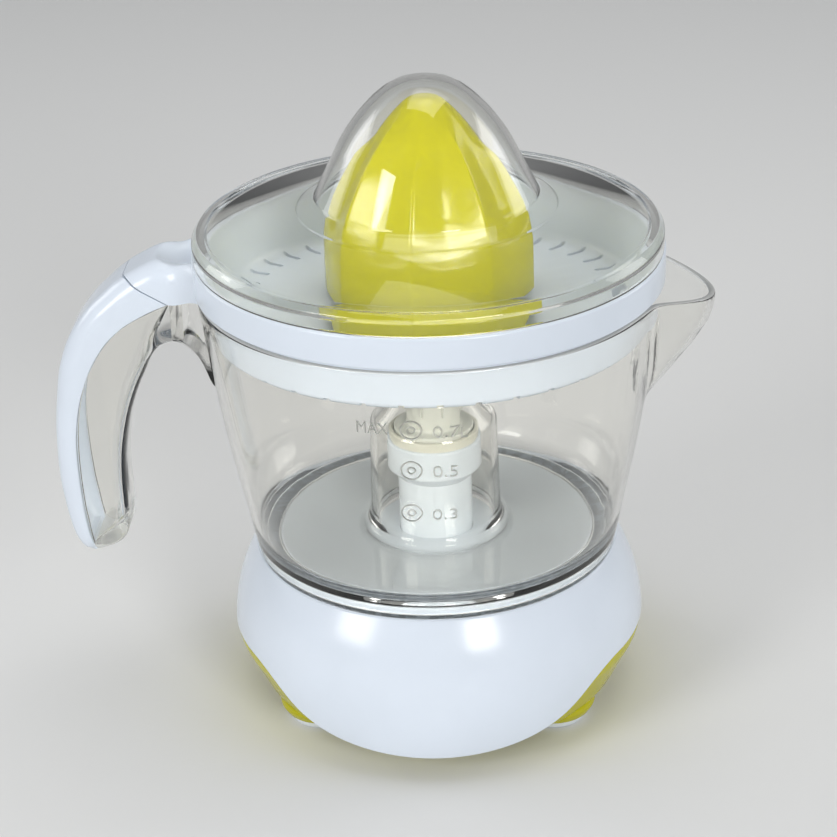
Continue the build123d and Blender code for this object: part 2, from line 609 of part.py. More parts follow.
# start switch under the shaft
SWITCH_Z = 14.0
SWITCH_T = 12.0
with BuildPart() as switch_body:
    with BuildSketch(level(SWITCH_Z)) as case:
        RectangleRounded(22, 11, 1)
    extrude(case.sketch, amount=SWITCH_T)
    drum((0, 0, SWITCH_Z + 3), 2.0 + FIT, SWITCH_T, Mode.SUBTRACT)
    for x in (-7.5, 7.5):
        drum((x, 0, SWITCH_Z), 1.1 + FIT, SWITCH_T, Mode.SUBTRACT)
switch_body.part.label = "switch_body"
export_step(switch_body.part, "parts/switch_body.step")

with BuildPart() as switch_screws:
    for x in (-7.5, 7.5):
        screw((x, 0, SWITCH_Z + SWITCH_T), 16, 1.1, 2.1, 1.5)
switch_screws.part.label = "switch_screws"
export_step(switch_screws.part, "parts/switch_screws.step")

with BuildPart() as switch_plunger:
    turn([(0, SWITCH_Z + 3 + TRAVEL + 0.6), (2.0, SWITCH_Z + 3 + TRAVEL + 0.6),
          (2.0, SHAFT_BOTTOM_Z - GAP, 0.5),
          (0, SHAFT_BOTTOM_Z - GAP)])
switch_plunger.part.label = "switch_plunger"
export_step(switch_plunger.part, "parts/switch_plunger.step")

# shaft and ribbed coupling
HEX_Z = OUTPUT_Z + 0.4
with BuildPart() as drive_shaft:
    drum((0, 0, SHAFT_BOTTOM_Z), SHAFT_END_R, HEX_Z + TRAVEL - SHAFT_BOTTOM_Z)
    with BuildSketch(level(HEX_Z + TRAVEL)) as hexagon:
        RegularPolygon(SHAFT_HEX / 2, 6, major_radius=False)
    extrude(hexagon.sketch, amount=OUTPUT_T)
    drum((0, 0, HEX_Z + TRAVEL + OUTPUT_T), SHAFT_R, 150 - HEX_Z - TRAVEL - OUTPUT_T)
drive_shaft.part.label = "drive_shaft"
export_step(drive_shaft.part, "parts/drive_shaft.step")

FLANGE_Z = TOWER_TOP_Z - 2 + TRAVEL + 1
with BuildPart() as drive_coupling:
    turn([(0, FLANGE_Z), (13.0, FLANGE_Z, 0.4), (13.0, FLANGE_Z + 2.5, 0.4),
          (COUPLING_R, FLANGE_Z + 2.5, 1.0),
          (COUPLING_R, COUPLING_TOP_Z, 1.5), (0, COUPLING_TOP_Z)])
    with BuildSketch(level(FLANGE_Z + 8)) as rib:
        with PolarLocations(COUPLING_R / 2 + RIB_RISE, RIBS):
            Rectangle(COUPLING_R, RIB_WIDTH)
        Circle(COUPLING_R + RIB_RISE, mode=Mode.INTERSECT)
    extrude(rib.sketch, amount=COUPLING_TOP_Z - 2 - FLANGE_Z - 8)
    drum((0, 0, FLANGE_Z), SHAFT_R, 150 - FLANGE_Z, Mode.SUBTRACT)
drive_coupling.part.label = "drive_coupling"
export_step(drive_coupling.part, "parts/drive_coupling.step")

with BuildPart() as return_spring:
    low = BUSH_TOP_Z + SPRING_WIRE_R
    high = FLANGE_Z - SPRING_WIRE_R
    with BuildLine(level(low)) as coil:
        Helix((high - low) / SPRING_TURNS, high - low, SPRING_R)
    with BuildSketch(Plane(coil.line @ 0, z_dir=coil.line % 0)) as wire:
        Circle(SPRING_WIRE_R)
    sweep(wire.sketch, path=coil.line, is_frenet=True)
return_spring.part.label = "return_spring"
export_step(return_spring.part, "parts/return_spring.step")

# jug: flared wall, floor, chimney over the tower, spout and open-ended grip
JUG_BELLY_R = JUG_WAIST_R + 0.61 * (JUG_RIM_R - JUG_WAIST_R)
JUG_PATH = [(JUG_RIM_R, JUG_RIM_Z), (JUG_BELLY_R, 101.0, 500), (JUG_WAIST_R, JUG_FOOT_Z)]
INNER_PATH = parallel(JUG_PATH, JUG_WALL)
CHIMNEY_PATH = [(NECK_R, NECK_TOP_Z), (NECK_R, 107.0, 3), (CHIMNEY_R, 98.0, 4),
                (CHIMNEY_R + 1, JUG_FLOOR_Z, 4)]
BORE_PATH = parallel(CHIMNEY_PATH, JUG_WALL - 0.2)
GRIP_TILT = 41.0         # angle at the grip pivot where the grip meets the bridge


def jug_r(z):
    """Outer radius of the jug wall at a height, on straight lines between its corners."""
    top, belly, low = JUG_PATH
    if z > belly[1]:
        low = top
    return belly[0] + (low[0] - belly[0]) * (z - belly[1]) / (low[1] - belly[1])


def spout_section(z, reach, half, corner, inset):
    """Tongue-shaped section of the spout at a height, drawn in by the inset."""
    root = jug_r(z) - 4.5
    side = math.hypot(reach - root, half)
    tip = reach - inset * side / half
    wide = half - inset * side / (reach - root)
    with BuildSketch(level(z)) as section:
        with BuildLine():
            outline([(root, -wide), (tip, 0, corner - inset), (root, wide)])
        make_face()
    return section.sketch


def spout(inset, mode):
    """Spout body from its root up past the rim."""
    loft([spout_section(SPOUT_ROOT_Z, jug_r(SPOUT_ROOT_Z) + 0.6, 7.0, 5.0, inset),
          spout_section(126.0, SPOUT_REACH - 4.1, 25.0, 10.0, inset),
          spout_section(JUG_RIM_Z + 3, SPOUT_REACH + 7.0, 33.0, 14.0, inset)], mode=mode)


def bow(corners, start, arc, mode=Mode.ADD, centre=(HANDLE_U, HANDLE_Z)):
    """Section of (distance from a pivot in the handle plane, width) swung about it from an angle."""
    pivot = (AXIS_X - centre[0], 0, centre[1])
    ahead = (-math.cos(math.radians(start)), 0, math.sin(math.radians(start)))
    with BuildSketch(Plane(pivot, x_dir=ahead, z_dir=(-ahead[2], 0, ahead[0]))) as section:
        with BuildLine():
            outline(corners)
        make_face()
    revolve(section.sketch, axis=Axis(pivot, (0, 1, 0)), revolution_arc=arc, mode=mode)


def split_core(inset, mode):
    """Body that parts the cover from the grip: a cylinder, cut off by a slope under the seam."""
    with BuildSketch(HANDLE) as section:
        with Locations((SPLIT_U, SPLIT_Z)):
            Circle(SPLIT_R - inset)
        with BuildLine():
            outline([(SEAM_LOW[0] - 60, SEAM_LOW[1] + 30 - inset),
                     (SEAM_LOW[0] + 60, SEAM_LOW[1] - 30 - inset),
                     (SEAM_LOW[0] + 60, 0), (SEAM_LOW[0] - 60, 0)])
        make_face(mode=Mode.INTERSECT)
    extrude(section.sketch, amount=2 * HANDLE_HALF, both=True, mode=mode)


def channel(near, far, half, corner):
    """U-shaped section open on its far side."""
    return [(near, -half, corner), (far, -half), (far, half), (near, half, corner)]


def finger_side(inset, low, high, mode=Mode.ADD):
    """Bar along the finger side of the handle: straight from a height, then bent up to an angle."""
    half = GRIP_HALF - inset
    corner = 7.5 - inset
    bow(channel(GRIP_R + inset, GRIP_R + 22, half, corner), 0, high, mode, (GRIP_LINE - GRIP_R, GRIP_Z))
    slab(level(low), [(-GRIP_LINE - inset, -half, corner), (-GRIP_LINE - 22, -half),
                      (-GRIP_LINE - 22, half),
                      (-GRIP_LINE - inset, half, corner)], GRIP_Z - low, mode)


with BuildPart() as grip_bar:
    finger_side(0, 48, GRIP_TILT)
    split_core(FIT, Mode.INTERSECT)
    slab(HANDLE, [(GRIP_LINE - 12, 68), (GRIP_LINE - 0.1, 68), (GRIP_LINE, 58, 4),
                  (GRIP_LINE + 11.2, 53.6),
                  (GRIP_LINE + 28, 47.1), (GRIP_LINE + 28, 40), (GRIP_LINE - 12, 40)], 2 * HANDLE_HALF,
         Mode.SUBTRACT, both=True)
    finger_side(2.6, 61, GRIP_TILT - 6, Mode.SUBTRACT)

with BuildPart() as jug:
    turn([(0, JUG_FOOT_Z), JUG_PATH[2], JUG_PATH[1], JUG_PATH[0], (0, JUG_RIM_Z)])
    spout(0, Mode.ADD)
    slab(AXIAL, [(71, JUG_RIM_Z), (SPOUT_REACH, SPOUT_TIP_Z), (SPOUT_REACH + 9, SPOUT_TIP_Z - 2),
                 (SPOUT_REACH + 9, JUG_RIM_Z + 9), (60, JUG_RIM_Z + 9), (60, JUG_RIM_Z)], 40,
                 Mode.SUBTRACT, both=True)
    slab(HANDLE, [(JUG_RIM_R - 14, JUG_RIM_Z - 0.4), (JUG_RIM_R - 14, 112), (JUG_RIM_R - 5.3, 112),
                  (JUG_RIM_R + 0.5, 128.3, 9), (GRIP_LINE - 15.3, 128.3), (GRIP_LINE - 8.3, 136.4),
                  (SEAM_LOW[0] - 0.3, 142.6), (SEAM_LOW[0] - 1.8, JUG_RIM_Z - 0.4)], GRIP_HALF - 1,
                  both=True)
    add(grip_bar.part)
    slab(HANDLE, [(SEAM_LOW[0] - 5.8, JUG_RIM_Z), (SEAM_LOW[0] - 5.8, 134.5, 2), (SEAM_LOW[0], 134.5, 2),
                  (SEAM_LOW[0] - 2.3, JUG_RIM_Z)], GRIP_HALF - 3.4, Mode.SUBTRACT, both=True)
    turn([(NECK_R, JUG_RIM_Z + 1), CHIMNEY_PATH[1], CHIMNEY_PATH[2], CHIMNEY_PATH[3],
          (INNER_PATH[2][0] + 1.2, JUG_FLOOR_Z, 7), INNER_PATH[1],
          (INNER_PATH[0][0] + 0.13, JUG_RIM_Z + 1)], Mode.SUBTRACT)
    spout(JUG_WALL + 0.2, Mode.SUBTRACT)
    drum((0, 0, NECK_TOP_Z), NECK_R + 2, JUG_RIM_Z, Mode.SUBTRACT)
    turn([(0, NECK_TOP_Z + 1), (NECK_R - JUG_WALL + 0.2, NECK_TOP_Z + 1), BORE_PATH[1], BORE_PATH[2],
          (BORE_PATH[3][0], JUG_FOOT_Z - 1), (0, JUG_FOOT_Z - 1)], Mode.SUBTRACT)
    drum((0, 0, JUG_FOOT_Z - 1), DECK_R + 0.4, DECK_Z + 0.4 - JUG_FOOT_Z + 1, Mode.SUBTRACT)
jug.part.label = "jug"
export_step(jug.part, "parts/jug.step")

# handle cover: white shell on the back of the grip, cut off along the seam with the strainer tab
ABOVE_U = (HANDLE_REACH - 74, HANDLE_REACH + 6)
SEAM_SLOPE = (SEAM_TOP[1] - SEAM_LOW[1]) / (SEAM_TOP[0] - SEAM_LOW[0])


def seam_z(u):
    """Height of the seam above a distance along the handle."""
    return SEAM_LOW[1] + SEAM_SLOPE * (u - SEAM_LOW[0])


def back(inset, depth, start, stop, mode=Mode.ADD):
    """Bar along the back of the handle, rounded outside, between angles on its two bends."""
    half = HANDLE_HALF - inset
    corner = 7 - inset
    shift = HANDLE_R - KNEE_R
    upper = (HANDLE_U + shift * math.cos(math.radians(KNEE)),
             HANDLE_Z + shift * math.sin(math.radians(KNEE)))
    for outer, low, high, centre in ((HANDLE_R, start, KNEE, (HANDLE_U, HANDLE_Z)),
                                     (KNEE_R, KNEE, stop, upper)):
        bow([(outer - depth, -half), (outer - inset, -half, corner), (outer - inset, half, corner),
             (outer - depth, half)],
            low, high - low, mode, centre)


with BuildPart() as handle_cover:
    back(0, 27, -16.5, 66)
    split_core(0, Mode.SUBTRACT)
    slab(HANDLE, [(ABOVE_U[0], seam_z(ABOVE_U[0]) - GAP), (ABOVE_U[1], seam_z(ABOVE_U[1]) - GAP),
                  (ABOVE_U[1], 200),
                  (ABOVE_U[0], 200)], 2 * HANDLE_HALF, Mode.SUBTRACT, both=True)
    slab(HANDLE, [(GRIP_LINE - 7.3, 60.6), (GRIP_LINE + 14.3, 52.2, 5), (GRIP_LINE + 20.1, 63.4),
                  (GRIP_LINE + 38, 80),
                  (GRIP_LINE + 38, 30), (GRIP_LINE - 7.3, 30)], 2 * HANDLE_HALF, Mode.SUBTRACT, both=True)
    back(2.2, 30, -12.5, 45, Mode.SUBTRACT)
handle_cover.part.label = "handle_cover"
export_step(handle_cover.part, "parts/handle_cover.step")

# strainer: thumb tab over the bridge of the handle, ring on the jug rim, slotted bowl, centre sleeve
TAB_R = 21.0
TAB_TOP_Z = RING_TOP_Z - 0.8
TAB_U = HANDLE_REACH - 41
FLARE_U = RING_R - 2.9
FLARE_HALF = HANDLE_HALF + 7.2
with BuildPart() as strainer:
    bow([(TAB_R - 20, -HANDLE_HALF), (TAB_R, -HANDLE_HALF, 7), (TAB_R, HANDLE_HALF, 7),
         (TAB_R - 20, HANDLE_HALF)],
        38, 52, centre=(TAB_U, TAB_TOP_Z - TAB_R))
    slab(Plane((AXIS_X - TAB_U, 0, 0), x_dir=(0, 1, 0), z_dir=(1, 0, 0)),
         [(-HANDLE_HALF, TAB_TOP_Z - 20), (-HANDLE_HALF, TAB_TOP_Z, 7), (HANDLE_HALF, TAB_TOP_Z, 7),
          (HANDLE_HALF, TAB_TOP_Z - 20)], TAB_U - RING_R + 5)
    slab(level(SEAM_LOW[1]), [(-FLARE_U + 4, -FLARE_HALF), (-FLARE_U, -FLARE_HALF),
                              (-RING_R + 0.8, -HANDLE_HALF, 9.8),
                              (-TAB_U, -HANDLE_HALF), (-TAB_U, HANDLE_HALF),
                              (-RING_R + 0.8, HANDLE_HALF, 9.8),
                              (-FLARE_U, FLARE_HALF), (-FLARE_U + 4, FLARE_HALF)],
                              TAB_TOP_Z - 4 - SEAM_LOW[1])
    slab(HANDLE, [(ABOVE_U[0], SEAM_LOW[1]), SEAM_LOW, (ABOVE_U[1], seam_z(ABOVE_U[1])), (ABOVE_U[1], 50),
                  (ABOVE_U[0], 50)], 2 * HANDLE_HALF, Mode.SUBTRACT, both=True)
    with Locations((AXIS_X - RING_R - 1.5, 0, TAB_TOP_Z + 18.2)):
        Sphere(21.8, mode=Mode.SUBTRACT)
    slab(HANDLE, [(RING_R - 15, 130), (RING_R - 15, JUG_RIM_Z + 0.2), (TAB_U + 0.4, JUG_RIM_Z + 0.2),
                  (TAB_U + 0.4, 130)],
         GRIP_HALF - 0.6, Mode.SUBTRACT, both=True)
    drum((0, 0, 130), RING_R - 0.1, RING_LOW_Z - 130, Mode.SUBTRACT)
    drum((0, 0, RING_LOW_Z), 70, 20, Mode.SUBTRACT)
    turn([(RING_R, RING_TOP_Z, 0.8), (RING_R, RING_LOW_Z, 0.5), (JUG_RIM_R - 1.1, RING_LOW_Z),
          (JUG_RIM_R - 1.1, JUG_RIM_Z), (JUG_RIM_R - 2.8, JUG_RIM_Z), (BOWL_R, BOWL_UNDER_Z, 2.5),
          (SLEEVE_R, BOWL_UNDER_Z, 1), (SLEEVE_R, 128), (NECK_R + 0.4, 128), (NECK_R + 0.4, 141, 0.5),
          (SLEEVE_R, 141, 0.5), (SLEEVE_R, BOWL_FLOOR_Z, 1.5), (BOWL_R - 2.1, BOWL_FLOOR_Z, 5),
          (RING_R - 4.1, RING_TOP_Z, 0.8)])
    with BuildSketch(level(BOWL_UNDER_Z - 1)) as slots:
        with PolarLocations(BOWL_R - 9.3, SLOTS):
            SlotOverall(SLOT_LENGTH, SLOT_WIDTH)
    extrude(slots.sketch, amount=8, mode=Mode.SUBTRACT)
    with BuildSketch(level(BOWL_UNDER_Z - 1)) as notches:
        with PolarLocations(BOWL_R - 2.3, SLOTS):
            Rectangle(8, SLOT_WIDTH)
    extrude(notches.sketch, amount=2.6, mode=Mode.SUBTRACT)
strainer.part.label = "strainer"
export_step(strainer.part, "parts/strainer.step")

# cone socket: keyed insert that the coupling drives
with BuildPart() as cone_socket:
    turn([(0, SOCKET_BOTTOM_Z), (SOCKET_R, SOCKET_BOTTOM_Z, 0.5), (SOCKET_R, SOCKET_TOP_Z, 1),
          (0, SOCKET_TOP_Z)])
    with BuildSketch(level(SOCKET_BOTTOM_Z)) as keyway:
        Circle(COUPLING_R + GAP)
        with PolarLocations((COUPLING_R + RIB_RISE + GAP) / 2, RIBS):
            Rectangle(COUPLING_R + RIB_RISE + GAP, RIB_WIDTH + 2 * GAP)
    extrude(keyway.sketch, amount=COUPLING_TOP_Z + GAP - SOCKET_BOTTOM_Z, mode=Mode.SUBTRACT)
cone_socket.part.label = "cone_socket"
export_step(cone_socket.part, "parts/cone_socket.step")

# reamer cone: fluted shell with a hub that slides on the socket
CONE_PATH = [(0, CONE_TOP_Z), (4.5, CONE_TOP_Z, 6), (21.5, 190.0, 60), (31.5, 171.5, 40),
             (33.5, 160.0, 40),
             (CONE_R, CONE_BOTTOM_Z)]
CONE_WALL = 6.0
CAVITY_PATH = parallel(CONE_PATH, CONE_WALL)
FLUTE_PIVOT = (-71.9, 131.0)
FLUTE_SWING = 107.5 + FLUTE_R
with BuildPart() as flute:
    with BuildSketch(Plane((0, 0, FLUTE_PIVOT[1]))) as groove:
        with Locations((FLUTE_PIVOT[0] + FLUTE_SWING, 0)):
            Circle(FLUTE_R)
    revolve(groove.sketch, axis=Axis((FLUTE_PIVOT[0], 0, FLUTE_PIVOT[1]), (0, -1, 0)), revolution_arc=60)

with BuildPart(level(0)) as cone:
    turn(CONE_PATH + [(0, CONE_BOTTOM_Z)])
    with PolarLocations(0, FLUTES, 16.1):
        add(flute.part, mode=Mode.SUBTRACT)
    turn(CAVITY_PATH[:-1] + [(CONE_R - CONE_WALL + 3, CONE_BOTTOM_Z - 1), (0, CONE_BOTTOM_Z - 1)],
         Mode.SUBTRACT)
    turn([(SOCKET_R + FIT, SOCKET_BOTTOM_Z), (SOCKET_R + 2, SOCKET_BOTTOM_Z), (SOCKET_R + 2, 192),
          (0, 192), (0, SOCKET_TOP_Z + TRAVEL + GAP), (SOCKET_R + FIT, SOCKET_TOP_Z + TRAVEL + GAP)])
cone.part.label = "cone"
export_step(cone.part, "parts/cone.step")

# lid: dome over the cone, sloping flange, short skirt on the ring
LID_PATH = [(0, LID_TOP_Z), (9.5, LID_TOP_Z, 22), (24.0, 198.5, 58), (36.6, 172.7, 3), (70.4, 165.3, 2.5),
            (LID_R, 162.6, 2.5), (LID_R, RING_TOP_Z)]
with BuildPart() as lid:
    turn(LID_PATH + parallel(LID_PATH, LID_WALL)[::-1])
lid.part.label = "lid"
export_step(lid.part, "parts/lid.step")
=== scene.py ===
"""Looks of the citrus press juicer: finishes, light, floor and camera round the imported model. Metres, Z up."""
import math

import bmesh
import bpy
from mathutils import Matrix, Vector


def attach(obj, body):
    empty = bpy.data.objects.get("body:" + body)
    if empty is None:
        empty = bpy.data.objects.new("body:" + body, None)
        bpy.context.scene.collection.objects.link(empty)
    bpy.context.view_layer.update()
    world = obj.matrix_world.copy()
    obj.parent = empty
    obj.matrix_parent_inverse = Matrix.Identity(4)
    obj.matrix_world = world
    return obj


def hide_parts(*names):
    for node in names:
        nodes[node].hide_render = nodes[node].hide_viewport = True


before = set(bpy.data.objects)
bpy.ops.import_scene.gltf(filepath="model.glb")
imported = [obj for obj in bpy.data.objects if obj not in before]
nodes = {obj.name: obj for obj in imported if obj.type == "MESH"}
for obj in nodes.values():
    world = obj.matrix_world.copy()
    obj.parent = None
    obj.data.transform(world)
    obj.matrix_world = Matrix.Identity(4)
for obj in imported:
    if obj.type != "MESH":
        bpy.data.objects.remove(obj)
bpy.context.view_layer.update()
AXIS_X = 0.0165          # drive axis, from the origin
MM = 0.001


def principled(name, colour, roughness, **sockets):
    """New material with a Principled shader; the sockets are set to constants."""
    material = bpy.data.materials.new(name)
    material.use_nodes = True
    shader = material.node_tree.nodes["Principled BSDF"]
    shader.inputs["Base Color"].default_value = (*colour, 1)
    shader.inputs["Roughness"].default_value = roughness
    for socket, value in sockets.items():
        shader.inputs[socket.replace("_", " ")].default_value = value
    return material, shader


def noise(material, scale, detail, low, high):
    """Noise in object space, mapped to a range."""
    tree = material.node_tree
    place = tree.nodes.new("ShaderNodeTexCoord")
    texture = tree.nodes.new("ShaderNodeTexNoise")
    texture.inputs["Scale"].default_value = scale
    texture.inputs["Detail"].default_value = detail
    spread = tree.nodes.new("ShaderNodeMapRange")
    spread.inputs["From Min"].default_value = 0.3
    spread.inputs["From Max"].default_value = 0.7
    spread.inputs["To Min"].default_value = low
    spread.inputs["To Max"].default_value = high
    tree.links.new(place.outputs["Object"], texture.inputs["Vector"])
    tree.links.new(texture.outputs["Fac"], spread.inputs["Value"])
    return spread.outputs["Result"]


def grain(material, shader, scale, strength, distance):
    """Fine moulded surface as a bump."""
    tree = material.node_tree
    bump = tree.nodes.new("ShaderNodeBump")
    bump.inputs["Strength"].default_value = strength
    bump.inputs["Distance"].default_value = distance
    tree.links.new(noise(material, scale, 3, 0, 1), bump.inputs["Height"])
    tree.links.new(bump.outputs["Normal"], shader.inputs["Normal"])


def plastic(name, colour, roughness, shift=0.03, spread=0.06, grain_scale=900, grain_strength=0.04):
    """Moulded plastic: slight shifts of tone, uneven gloss, fine grain."""
    material, shader = principled(name, colour, roughness)
    tree = material.node_tree
    tone = tree.nodes.new("ShaderNodeMix")
    tone.data_type = "RGBA"
    tone.inputs["A"].default_value = (*[c * (1 - shift) for c in colour], 1)
    tone.inputs["B"].default_value = (*[min(c * (1 + shift), 1) for c in colour], 1)
    tree.links.new(noise(material, 25, 4, 0, 1), tone.inputs["Factor"])
    tree.links.new(tone.outputs["Result"], shader.inputs["Base Color"])
    tree.links.new(noise(material, 60, 5, roughness, roughness + spread), shader.inputs["Roughness"])
    grain(material, shader, grain_scale, grain_strength, 0.0002)
    return material


def metal(name, colour, roughness):
    """Turned or drawn metal with streaks of gloss."""
    material, shader = principled(name, colour, roughness, Metallic=1.0)
    streaks = noise(material, 200, 4, roughness * 0.8, roughness * 1.3)
    material.node_tree.links.new(streaks, shader.inputs["Roughness"])
    grain(material, shader, 1500, 0.06, 0.0001)
    return material


def clear(name, tint, roughness, through, share=1.0):
    """Clear plastic that lets lamp light through to what is inside."""
    material, shader = principled(name, tint, roughness, Transmission_Weight=share, IOR=1.5)
    tree = material.node_tree
    path = tree.nodes.new("ShaderNodeLightPath")
    window = tree.nodes.new("ShaderNodeBsdfTransparent")
    window.inputs["Color"].default_value = (*through, 1)
    pick = tree.nodes.new("ShaderNodeMixShader")
    tree.links.new(path.outputs["Is Shadow Ray"], pick.inputs["Fac"])
    tree.links.new(shader.outputs["BSDF"], pick.inputs[1])
    tree.links.new(window.outputs["BSDF"], pick.inputs[2])
    tree.links.new(pick.outputs["Shader"], tree.nodes["Material Output"].inputs["Surface"])
    return material


WHITE = plastic("white_plastic", (0.70, 0.76, 0.84), 0.16)
YELLOW = plastic("yellow_plastic", (0.48, 0.45, 0.001), 0.14)
IVORY = plastic("ivory_plastic", (0.70, 0.69, 0.60), 0.3)
PALE = plastic("pale_plastic", (0.74, 0.75, 0.70), 0.3)
PAD = plastic("foot_pad", (0.72, 0.76, 0.80), 0.5, grain_strength=0.15)
GREY = plastic("inner_plastic", (0.45, 0.45, 0.43), 0.45)
NATURAL = plastic("gear_plastic", (0.70, 0.69, 0.62), 0.35)
BLACK = plastic("switch_plastic", (0.02, 0.02, 0.02), 0.4)
RUBBER = plastic("grommet", (0.55, 0.57, 0.60), 0.6, grain_strength=0.15)
STEEL = metal("steel", (0.55, 0.55, 0.56), 0.3)
IRON = metal("lamination", (0.2, 0.2, 0.21), 0.45)
BRONZE = metal("bronze", (0.55, 0.40, 0.18), 0.35)
COPPER = metal("copper_wire", (0.55, 0.22, 0.09), 0.35)
CLEAR = clear("clear_plastic", (0.98, 0.975, 0.95), 0.02, (0.87, 0.87, 0.85))
# painted highlight: paler, half-milky clear plastic for the jug's lip and foot and the grip's lower end, in place of
# the dark bands the clear plastic renders there
PAINTED_EDGE_LIGHT = clear("clear_edge_painted_highlight", (0.84, 0.85, 0.83), 0.22, (0.8, 0.8, 0.78), 0.5)
FROSTED = clear("moulded_marks", (0.86, 0.86, 0.84), 0.3, (0.75, 0.75, 0.74))

FINISH = {
    WHITE: ["base_housing", "tower", "handle_cover", "strainer"],
    YELLOW: ["base_tub", "cone"],
    IVORY: ["tower_collar"],
    PALE: ["drive_coupling", "cone_socket"],
    PAD: ["feet"],
    GREY: ["gear_plate", "motor_bobbin"],
    NATURAL: ["output_gear", "idler_gear", "switch_plunger"],
    BLACK: ["switch_body"],
    RUBBER: ["cord_gland"],
    STEEL: ["base_screws", "tower_screws", "gear_plate_screws", "motor_screws", "switch_screws", "idler_axle",
            "motor_bracket_lower", "motor_bracket_upper", "rotor_shaft", "drive_shaft", "return_spring"],
    IRON: ["motor_core", "rotor_core"],
    BRONZE: ["upper_bush", "lower_bush", "motor_bushes", "motor_pinion"],
    COPPER: ["motor_coil"],
    CLEAR: ["jug", "lid"],
}
for material, names in FINISH.items():
    for name in names:
        nodes[name].data.materials.clear()
        nodes[name].data.materials.append(material)


# shapes, in millimetres from the drive axis
def rounded(corners, closed=True):
    """Outline through (x, y, radius) corners with their arcs drawn out."""
    line = []
    count = len(corners)
    for index, corner in enumerate(corners):
        here = Vector(corner[:2])
        radius = corner[2] if len(corner) > 2 else 0
        if radius == 0 or (not closed and index in (0, count - 1)):
            line.append(here)
            continue
        back = (Vector(corners[index - 1][:2]) - here).normalized()
        on = (Vector(corners[(index + 1) % count][:2]) - here).normalized()
        half = back.angle(on) / 2
        reach = radius / math.tan(half)
        middle = here + (back + on).normalized() * (radius / math.sin(half))
        first = here + back * reach - middle
        turn = first.angle_signed(here + on * reach - middle)
        steps = max(3, round(abs(math.degrees(turn)) / (1 if radius > 40 else 10)))
        for step in range(steps + 1):
            angle = -turn * step / steps
            line.append(middle + Matrix.Rotation(angle, 2) @ first)
    return [(point.x, point.y) for point in line]


def finish_mesh(mesh, sharp):
    """Joins doubled points, turns the faces outward and smooths all but the sharp edges."""
    work = bmesh.new()
    work.from_mesh(mesh)
    bmesh.ops.remove_doubles(work, verts=work.verts, dist=1e-6)
    bmesh.ops.dissolve_degenerate(work, edges=work.edges, dist=1e-6)
    bmesh.ops.recalc_face_normals(work, faces=work.faces)
    work.to_mesh(mesh)
    work.free()
    mesh.shade_smooth()
    mesh.set_sharp_from_angle(angle=math.radians(sharp))


def solid(name, points, faces, sharp):
    """Mesh object from points in millimetres about the drive axis."""
    mesh = bpy.data.meshes.new(name)
    mesh.from_pydata([(AXIS_X + x * MM, y * MM, z * MM) for x, y, z in points], [], faces)
    finish_mesh(mesh, sharp)
    made = bpy.data.objects.new(name, mesh)
    bpy.context.scene.collection.objects.link(made)
    return made


def piece(name, points, faces, material, body, sharp=40):
    """Mesh object that rides on a body; edges turned by more than the angle stay sharp."""
    made = solid(name, points, faces, sharp)
    made.data.materials.append(material)
    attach(made, body)
    return made


def cut(made, points, faces, sharp):
    """Takes the body with these points and faces out of a piece."""
    cutter = solid("cutter", points, faces, sharp)
    step = made.modifiers.new("cut", "BOOLEAN")
    step.object = cutter
    step.solver = "EXACT"
    graph = bpy.context.evaluated_depsgraph_get()
    result = bpy.data.meshes.new_from_object(made.evaluated_get(graph))
    made.modifiers.clear()
    made.data = result
    finish_mesh(result, sharp)
    bpy.data.objects.remove(cutter)


def divided(line, step, closed=True):
    """Outline with points added about a step apart."""
    rows = []
    for (r0, z0), (r1, z1) in zip(line, line[1:] + line[:1] if closed else line[1:]):
        parts = max(1, round(math.hypot(r1 - r0, z1 - z0) / step))
        rows += [(r0 + (r1 - r0) * i / parts, z0 + (z1 - z0) * i / parts) for i in range(parts)]
    return rows if closed else rows + [line[-1]]


def spun(line, angles, shape=None, closed=True):
    """Points and faces of an outline turned about the drive axis; shape may move each point."""
    points, rings = [], []
    for r, z in line:
        if r < 0.001:
            rings.append([len(points)] * len(angles))
            points.append((0, 0, z))
            continue
        rings.append(list(range(len(points), len(points) + len(angles))))
        for angle in angles:
            far, high = shape(r, z, angle) if shape else (r, z)
            points.append((far * math.cos(angle), far * math.sin(angle), high))
    faces = []
    for low, high in zip(rings, rings[1:] + rings[:1] if closed else rings[1:]):
        for i in range(len(angles)):
            j = (i + 1) % len(angles)
            corner = [low[i], low[j], high[j], high[i]]
            corner = [c for k, c in enumerate(corner) if c != corner[k - 1]]
            if len(corner) > 2:
                faces.append(corner)
    return points, faces


def smooth(stations, parts):
    """Curve through rows of numbers, divided into parts between each two."""
    rows = []
    count = len(stations)
    for index in range(count - 1):
        before, here, after, beyond = (stations[min(max(index + k, 0), count - 1)] for k in (-1, 0, 1, 2))
        for step in range(parts):
            t = step / parts
            weights = ((-t + 2 * t * t - t ** 3) / 2, (2 - 5 * t * t + 3 * t ** 3) / 2,
                       (t + 4 * t * t - 3 * t ** 3) / 2, (-t * t + t ** 3) / 2)
            rows.append([sum(w * row[k] for w, row in zip(weights, (before, here, after, beyond)))
                         for k in range(len(here))])
    rows.append(list(stations[-1]))
    return rows


def swept(loops):
    """Points and faces of a closed body through loops of equal length, with its two ends capped."""
    ring = len(loops[0])
    points = [point for loop in loops for point in loop]
    faces = []
    for row in range(len(loops) - 1):
        for i in range(ring):
            j = (i + 1) % ring
            faces.append([row * ring + i, row * ring + j, (row + 1) * ring + j, (row + 1) * ring + i])
    faces.append(list(range(ring - 1, -1, -1)))
    faces.append(list(range((len(loops) - 1) * ring, len(loops) * ring)))
    return points, faces


def ease(value, low, high):
    """Smooth step from 0 at low to 1 at high."""
    t = min(max((value - low) / (high - low), 0), 1)
    return t * t * (3 - 2 * t)


